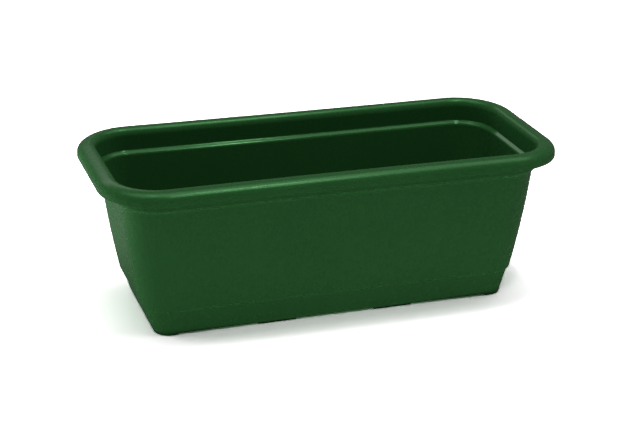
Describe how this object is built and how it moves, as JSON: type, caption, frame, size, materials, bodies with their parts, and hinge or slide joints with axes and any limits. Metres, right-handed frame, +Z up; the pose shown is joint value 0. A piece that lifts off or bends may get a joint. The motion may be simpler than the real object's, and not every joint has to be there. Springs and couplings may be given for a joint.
{
  "type": "window box planter",
  "caption": "Long moulded plastic window box with a rolled rim, an inner ledge, a stepped foot and lift-out drain plugs.",
  "frame": {"origin": "middle of the footprint, on the surface that the trough stands on", "axes": "+Z up, +X along the length to the right end, the long sides face -Y (front) and +Y (back)"},
  "size_m": [0.457, 0.205, 0.1595],
  "materials": {
    "green_plastic": "satin",
    "plug_rubber": "matte"
  },
  "bodies": {
    "trough": {"trough": "green_plastic"},
    "drain_plug_1": {"drain_plug_1": "plug_rubber"},
    "drain_plug_2": {"drain_plug_2": "plug_rubber"},
    "drain_plug_3": {"drain_plug_3": "plug_rubber"}
  },
  "joints": [
    {"name": "drain_plug_1_lift", "type": "slide", "parent": "trough", "child": "drain_plug_1", "axis": [0, 0, 1], "range_m": [0, 0.16]},
    {"name": "drain_plug_2_lift", "type": "slide", "parent": "trough", "child": "drain_plug_2", "axis": [0, 0, 1], "range_m": [0, 0.16]},
    {"name": "drain_plug_3_lift", "type": "slide", "parent": "trough", "child": "drain_plug_3", "axis": [0, 0, 1], "range_m": [0, 0.16]}
  ]
}
